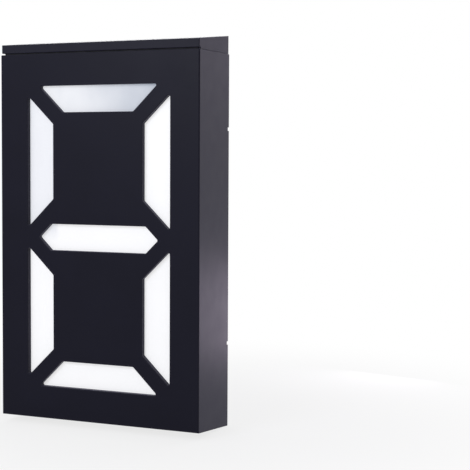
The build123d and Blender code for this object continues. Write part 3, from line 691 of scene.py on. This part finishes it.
# how the marks of a metal are scaled along X, Y and Z: below 1 draws them out
EVEN = (1.0, 1.0, 1.0)
zinc = bright_metal("zinc_plate", (0.62, 0.63, 0.66), 0.32, EVEN)
nickel = bright_metal("nickel_strip", (0.7, 0.67, 0.6), 0.26, (1.0, 1.0, 0.12))
switch_steel = bright_metal("switch_steel", (0.58, 0.58, 0.59), 0.34, (0.12, 1.0, 1.0))
cell_steel = bright_metal("cell_steel", (0.66, 0.65, 0.62), 0.24, EVEN)
tinned_tag = bright_metal("tinned_tag", (0.68, 0.68, 0.66), 0.36, EVEN)
can_aluminium = bright_metal("can_aluminium", (0.75, 0.75, 0.76), 0.28, (0.15, 1.0, 1.0))

CELL_COUNT = 8
CELL_GAP = 1 * MM
panel_low, panel_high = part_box("solar_cells")
cell_pitch = (panel_high.x - panel_low.x + CELL_GAP) / CELL_COUNT

CHIP_FOOT_REACH = 1 * MM
chip_low, chip_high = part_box("driver_chip")
controller_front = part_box("controller_board")[0].y
pin_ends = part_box("board_header")[1].y

node_finish = {
    "front_housing": case_black,
    "rear_cover": cover_black,
    "rear_seal": rubber,
    "keyhole_cups": cup_plastic(),
    "diffuser_panel": opal_acrylic(),
    "segment_reflector": reflector_plastic(),
    "led_board": lamp_board_mask(),
    "solar_lid": lid_black,
    "lid_seal": rubber,
    "panel_board": panel_laminate(),
    "solar_cells": solar_silicon(cell_pitch),
    "panel_cover": clear_resin(),
    "panel_plug": nylon,
    "panel_socket": nylon,
    "panel_lead_red": red_insulation,
    "panel_lead_black": black_insulation,
    "battery_holder": holder_black,
    "positive_contact": nickel,
    "negative_contact": nickel,
    "holder_tape": foam_tape(),
    "battery_socket": nylon,
    "battery_plug": nylon,
    "battery_lead_red": red_insulation,
    "battery_lead_black": black_insulation,
    "controller_board": controller_mask(),
    "board_standoffs": nylon,
    "board_header": header_finish(controller_front, pin_ends),
    "driver_chip": chip_finish(chip_low.z + CHIP_FOOT_REACH, chip_high.z - CHIP_FOOT_REACH),
    "switch_case": switch_steel,
    "switch_socket": nylon,
    "switch_plug": nylon,
    "switch_leads": black_insulation,
}
for node, material in node_finish.items():
    nodes[node].data.materials.clear()
    nodes[node].data.materials.append(material)


# ---- small pieces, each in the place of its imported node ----
def board_screws():
    """Pan heads with a cross recess, facing the wall."""
    places = centres("board_screws", count=6)
    head_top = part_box("board_screws")[1].y
    for place in places:
        place.y = head_top
    outline = [(0, 0), (0, 1.25), (-0.12, 1.6), (-0.4, 1.95), (-0.8, 2.15), (-1.3, 2.2), (-1.5, 2.1),
               (-1.5, 1.1), (-8.2, 1.1), (-9.1, 0.7), (-9.5, 0.25), (-9.5, 0)]
    screw = turned("board_screw_1", places[0], TO_WALL, outline, steps=24, material=zinc)
    cut_cross(screw, places[0], TO_WALL, reach=1.15 * MM, width=0.45 * MM, depth=0.8 * MM)
    stand_for(copies(screw, "board_screw", places), "board_screws", "case")


def switch_screws():
    """Smaller heads with a cross recess, facing up into the case."""
    places = centres("switch_screws", count=2)
    head_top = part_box("switch_screws")[1].z
    for place in places:
        place.z = head_top
    outline = [(0, 0), (0, 0.95), (-0.1, 1.25), (-0.35, 1.5), (-0.8, 1.7), (-1.0, 1.62), (-1.0, 0.9),
               (-3.2, 0.9), (-3.8, 0.5), (-4.0, 0.2), (-4.0, 0)]
    screw = turned("switch_screw_1", places[0], UP, outline, steps=20, material=zinc)
    cut_cross(screw, places[0], UP, reach=0.85 * MM, width=0.35 * MM, depth=0.55 * MM)
    stand_for(copies(screw, "switch_screw", places), "switch_screws", "case")


def segment_leds():
    """Light-emitting diodes: a white cup filled with phosphor, a tinned tag at each end."""
    width = 3.5 * MM
    tall = 2.8 * MM
    corner = 0.25 * MM
    rim = 0.35 * MM
    cup_slope = 0.2 * MM
    cup_depth = 0.35 * MM
    tag_border = 0.3 * MM
    tag_depth = 0.12 * MM
    places = centres("segment_leds", count=21)
    low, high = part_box("segment_leds")
    thick = high.y - low.y
    half = Vector((width, thick, tall)) / 2
    led = begin_block("segment_led_1", places[0] - half, places[0] + half)
    choose_edges(led, lambda a, b: abs(a.y - b.y) > thick / 2)
    bpy.ops.mesh.bevel(offset=corner, segments=2, affect="EDGES")
    choose_faces(led, lambda middle, normal: normal.y < -FACING)
    bpy.ops.mesh.inset(thickness=rim, depth=0)
    bpy.ops.mesh.inset(thickness=cup_slope, depth=-cup_depth)
    choose_faces(led, lambda middle, normal: abs(normal.x) > FACING)
    bpy.ops.mesh.inset(thickness=tag_border, depth=-tag_depth)
    led.data.materials.append(led_housing())
    close(led)
    cup_floor_from = low.y + cup_depth / 2
    finish_faces(led, led_phosphor(),
                 lambda middle, normal: normal.y < -FACING and middle.y > cup_floor_from)
    tag_within = half.x - 0.05 * MM
    finish_faces(led, tinned_tag, lambda middle, normal: abs(normal.x) > FACING
                 and abs(middle.x - places[0].x) < tag_within)
    stand_for(copies(led, "segment_led", places), "segment_leds", "case")


def battery_cell():
    """A sleeved can with a crimp groove and a button end."""
    low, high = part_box("battery_cell")
    base = Vector((low.x, (low.y + high.y) / 2, (low.z + high.z) / 2))
    outline = [(0, 0), (0, 5.1), (0.22, 5.35), (0.22, 5.7), (0.04, 5.95), (0.04, 6.5), (0.25, 6.9),
               (0.6, 7.1), (44.4, 7.1), (44.8, 7.02), (45.2, 6.8), (45.6, 6.72), (46.0, 6.8),
               (46.4, 7.02), (46.8, 7.1), (47.9, 7.1), (48.25, 6.9), (48.45, 6.5), (48.45, 5.9),
               (48.2, 5.65), (48.2, 3.6), (48.45, 3.1), (48.6, 2.8), (49.7, 2.7), (49.95, 2.5),
               (50.0, 2.2), (50.0, 0)]
    bare_end = 5.75 * MM
    cell = turned("battery_cell_sleeved", base, ALONG_X, outline, steps=64, material=cell_sleeve())
    finish_faces(cell, cell_steel, lambda middle, normal: off_axis(middle, base, ALONG_X) < bare_end)
    stand_for([cell], "battery_cell", "case")


def power_inductor():
    """A ferrite bobbin wound with enamelled wire."""
    low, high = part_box("power_inductor")
    base = Vector(((low.x + high.x) / 2, low.y, (low.z + high.z) / 2))
    rim = 3.9
    chamfer = 3.7
    core = 3.25
    wire_side = 3.4
    wire_top = 3.46
    first_turn = 0.95
    pitch = 0.42
    turns = 6
    outline = [(0, 0), (0, chamfer), (0.2, rim), (0.75, rim), (0.9, chamfer), (0.9, core)]
    for turn in range(turns):
        start = first_turn + turn * pitch
        outline += [(start + 0.08, wire_side), (start + 0.21, wire_top),
                    (start + 0.34, wire_side), (start + 0.41, core)]
    end = first_turn + turns * pitch
    outline += [(end + 0.06, core), (end + 0.06, chamfer), (end + 0.2, rim), (4.3, rim), (4.5, chamfer),
                (4.5, 2.0), (4.3, 1.8), (4.3, 0)]
    bobbin = turned("wound_inductor", base, TO_WALL, outline, steps=40, material=ferrite())
    winding_from = base.y + 0.9 * MM
    winding_to = base.y + (end + 0.03) * MM
    winding_radius = 3.5 * MM
    finish_faces(bobbin, enamelled_copper(),
                 lambda middle, normal: winding_from < middle.y < winding_to
                 and off_axis(middle, base, TO_WALL) < winding_radius)
    stand_for([bobbin], "power_inductor", "case")


def capacitors():
    """Sleeved cans with a rolled groove and a scored top."""
    places = centres("capacitors", count=3)
    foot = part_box("capacitors")[0].y
    for place in places:
        place.y = foot
    base = places[0]
    top = 5.85
    outline = [(0, 0), (0, 2.2), (0.15, 2.45), (0.4, 2.6), (0.8, 2.6), (1.0, 2.45), (1.15, 2.35),
               (1.3, 2.45), (1.5, 2.6), (5.65, 2.6), (top, 2.5), (5.98, 2.3), (5.98, 1.95),
               (top, 1.85), (top, 0)]
    dark_sleeve = capacitor_sleeve("dark_sleeve", (0.01, 0.016, 0.03))
    can = turned("capacitor_1", base, TO_WALL, outline, steps=32, material=dark_sleeve)
    middle_of_top = base + TO_WALL * top * MM
    cut_cross(can, middle_of_top, TO_WALL, reach=1.4 * MM, width=0.16 * MM, depth=0.18 * MM)
    bare_from = base.y + 5.6 * MM
    bare_radius = 1.9 * MM
    finish_faces(can, can_aluminium, lambda middle, normal: middle.y > bare_from
                 and off_axis(middle, base, TO_WALL) < bare_radius)
    stripe_to = base.y + 5.7 * MM
    finish_faces(can, capacitor_sleeve("pale_stripe", (0.42, 0.44, 0.46)),
                 lambda middle, normal: normal.x < -FACING and middle.y < stripe_to)
    stand_for(copies(can, "capacitor", places), "capacitors", "case")


def switch_knob():
    """A block with finger ridges across its underside."""
    bands = 7
    groove_depth = 0.4 * MM
    rounding = 0.12 * MM
    hair = 0.0001 * MM
    low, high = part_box("switch_knob")
    band = (high.x - low.x) / bands
    knob = begin_block("ridged_knob", low, high)
    for number in range(1, bands):
        slice_across(ALONG_X, low + ALONG_X * number * band)
    choose_faces(knob, lambda middle, normal: normal.z < -FACING
                 and int((middle.x - low.x) / band) % 2 == 1)
    bpy.ops.mesh.extrude_region_move(TRANSFORM_OT_translate={"value": UP * groove_depth})
    ridge_tops_below = low.z + 0.05 * MM
    choose_edges(knob, lambda a, b: abs(a.x - b.x) < hair and abs(a.z - b.z) < hair
                 and a.z < ridge_tops_below)
    bpy.ops.mesh.bevel(offset=rounding, segments=2, affect="EDGES")
    knob.data.materials.append(knob_black)
    close(knob)
    stand_for([knob], "switch_knob", "knob")


def grooved_plug(node, body, mouth, grooves):
    """A lead's plug: finger grooves round its proud end, and two contact openings in its mouth.

    The mouth is UP or DOWN, the way the contact openings face.
    """
    rounding = 0.22 * MM
    first_groove = 0.55 * MM
    groove_pitch = 0.75 * MM
    groove_width = 0.35 * MM
    groove_slope = 0.04 * MM
    groove_depth = 0.2 * MM
    half_pitch = 0.9 * MM
    opening = (1 * MM, 1 * MM, 3 * MM)
    low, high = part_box(node)
    middle = (low + high) / 2
    mouth_up = mouth.z > 0
    proud_z = low.z if mouth_up else high.z
    mouth_z = high.z if mouth_up else low.z
    plug = begin_block(node + "_grooved", low, high)
    bpy.ops.mesh.select_all(action="SELECT")
    bpy.ops.mesh.bevel(offset=rounding, segments=2, affect="EDGES")
    bands = []
    for number in range(grooves):
        start = proud_z + mouth.z * (first_groove + groove_pitch * number)
        band = sorted((start, start + mouth.z * groove_width))
        bands.append(band)
        for height in band:
            slice_across(UP, UP * height)
    for from_z, to_z in bands:
        choose_faces(plug, lambda centre, normal: from_z < centre.z < to_z and abs(normal.z) < FACING)
        bpy.ops.mesh.inset(thickness=groove_slope, depth=-groove_depth)
    plug.data.materials.append(nylon)
    close(plug)
    for side in (-1, 1):
        cut_bar(plug, Vector((middle.x + side * half_pitch, middle.y, mouth_z)), opening)
    stand_for([plug], node, body)


board_screws()
switch_screws()
segment_leds()
battery_cell()
power_inductor()
capacitors()
switch_knob()
grooved_plug("panel_plug", "lid", DOWN, grooves=4)
grooved_plug("battery_plug", "case", DOWN, grooves=2)
grooved_plug("switch_plug", "case", UP, grooves=2)


# ---- floor, world, lamps and camera ----
WHITE = (1.0, 1.0, 1.0, 1.0)
case_low, case_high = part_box("front_housing")
sign_middle = (case_low + case_high) / 2


def seen_rays(tree):
    """1 for rays that look straight, by reflection or through glass, 0 for rays that only bring light."""
    path = tree.nodes.new("ShaderNodeLightPath")
    seen = path.outputs["Is Camera Ray"]
    for kind in ("Is Glossy Ray", "Is Transmission Ray"):
        either = tree.nodes.new("ShaderNodeMath")
        either.operation = "MAXIMUM"
        tree.links.new(seen, either.inputs[0])
        tree.links.new(path.outputs[kind], either.inputs[1])
        seen = either.outputs["Value"]
    return seen


def show_white(tree, share, lit, white, out):
    """Sends the lit shader to the surface, and the white one in its place by this share."""
    mix = tree.nodes.new("ShaderNodeMixShader")
    tree.links.new(share, mix.inputs["Fac"])
    tree.links.new(lit, mix.inputs[1])
    tree.links.new(white, mix.inputs[2])
    tree.links.new(mix.outputs["Shader"], out.inputs["Surface"])


def add_floor():
    """A pale floor that keeps the sign's soft shadow and fades into the white behind."""
    floor_size = 6.0
    fade_from = 0.07
    fade_to = 0.3
    white_at_sign = 0.78
    bpy.ops.object.select_all(action="DESELECT")
    bpy.ops.mesh.primitive_plane_add(size=floor_size, location=(0, 0, case_low.z))
    floor = bpy.context.active_object
    floor.name = "studio_floor"
    material = bpy.data.materials.new("pale_floor")
    material.use_nodes = True
    tree = material.node_tree
    tree.nodes.clear()
    paint = tree.nodes.new("ShaderNodeBsdfDiffuse")
    paint.inputs["Color"].default_value = (0.9, 0.9, 0.9, 1.0)
    white = tree.nodes.new("ShaderNodeEmission")
    white.inputs["Color"].default_value = WHITE
    place = tree.nodes.new("ShaderNodeTexCoord")
    from_sign = tree.nodes.new("ShaderNodeVectorMath")
    from_sign.operation = "LENGTH"
    tree.links.new(place.outputs["Object"], from_sign.inputs[0])
    fade = tree.nodes.new("ShaderNodeMapRange")
    fade.interpolation_type = "SMOOTHSTEP"
    fade.inputs["From Min"].default_value = fade_from
    fade.inputs["From Max"].default_value = fade_to
    fade.inputs["To Min"].default_value = white_at_sign
    tree.links.new(from_sign.outputs["Value"], fade.inputs["Value"])
    share = tree.nodes.new("ShaderNodeMath")
    share.operation = "MULTIPLY"
    tree.links.new(fade.outputs["Result"], share.inputs[0])
    tree.links.new(seen_rays(tree), share.inputs[1])
    out = tree.nodes.new("ShaderNodeOutputMaterial")
    show_white(tree, share.outputs["Value"], paint.outputs["BSDF"], white.outputs["Emission"], out)
    floor.data.materials.append(material)


def add_world():
    """White where it is seen, mirrored or looked through to, and a soft plain light elsewhere."""
    world = bpy.data.worlds.new("studio")
    bpy.context.scene.world = world
    world.use_nodes = True
    tree = world.node_tree
    tree.nodes.clear()
    soft = tree.nodes.new("ShaderNodeBackground")
    soft.inputs["Color"].default_value = WHITE
    soft.inputs["Strength"].default_value = 0.45
    white = tree.nodes.new("ShaderNodeBackground")
    white.inputs["Color"].default_value = WHITE
    white.inputs["Strength"].default_value = 1.0
    out = tree.nodes.new("ShaderNodeOutputWorld")
    show_white(tree, seen_rays(tree), soft.outputs["Background"], white.outputs["Background"], out)


def add_lamp(name, place, aim, size, watts, colour):
    """A square soft lamp at a place, turned to what it lights, and hidden from the camera."""
    lamp = bpy.data.lights.new(name, "AREA")
    lamp.size = size
    lamp.energy = watts
    lamp.color = colour
    holder = bpy.data.objects.new(name, lamp)
    holder.visible_camera = False
    holder.location = place
    holder.rotation_euler = (Vector(aim) - Vector(place)).to_track_quat("-Z", "Y").to_euler()
    bpy.context.scene.collection.objects.link(holder)


def add_camera():
    """The photograph's viewpoint, from a fit to its corners: right of the sign, looking slightly down."""
    yaw = math.radians(24.832)
    down = math.radians(3.031)
    roll = math.radians(-0.043)
    camera = bpy.data.cameras.new("photo_camera")
    camera.sensor_width = 36.0
    camera.lens = 96.695
    camera.shift_x = 0.21915
    camera.shift_y = -0.04015
    camera.clip_start = 0.01
    camera.clip_end = 20.0
    holder = bpy.data.objects.new("photo_camera", camera)
    holder.location = (0.27517, -0.59358, 0.04601)
    holder.rotation_euler = (math.pi / 2 - down, roll, yaw)
    bpy.context.scene.collection.objects.link(holder)
    bpy.context.scene.camera = holder


cool_white = (0.86, 0.88, 1.0)
faint_violet = (0.94, 0.8, 1.0)

add_floor()
add_world()
add_lamp("top_lamp", place=(-0.1, -0.5, 0.21), aim=(0.03, -0.04, 0.08),
         size=0.2, watts=1.02, colour=cool_white)
add_lamp("right_lamp", place=(0.62, 1.0, 0.42), aim=sign_middle,
         size=0.6, watts=1.35, colour=faint_violet)
add_lamp("low_lamp", place=(0.1, 0.18, -0.06), aim=(0.054, 0.0, -0.03),
         size=0.06, watts=0.042, colour=faint_violet)
add_lamp("rear_lamp", place=(-0.35, 0.85, 0.6), aim=sign_middle,
         size=0.7, watts=2.2, colour=cool_white)
add_camera()

bpy.context.scene.view_settings.view_transform = "Standard"
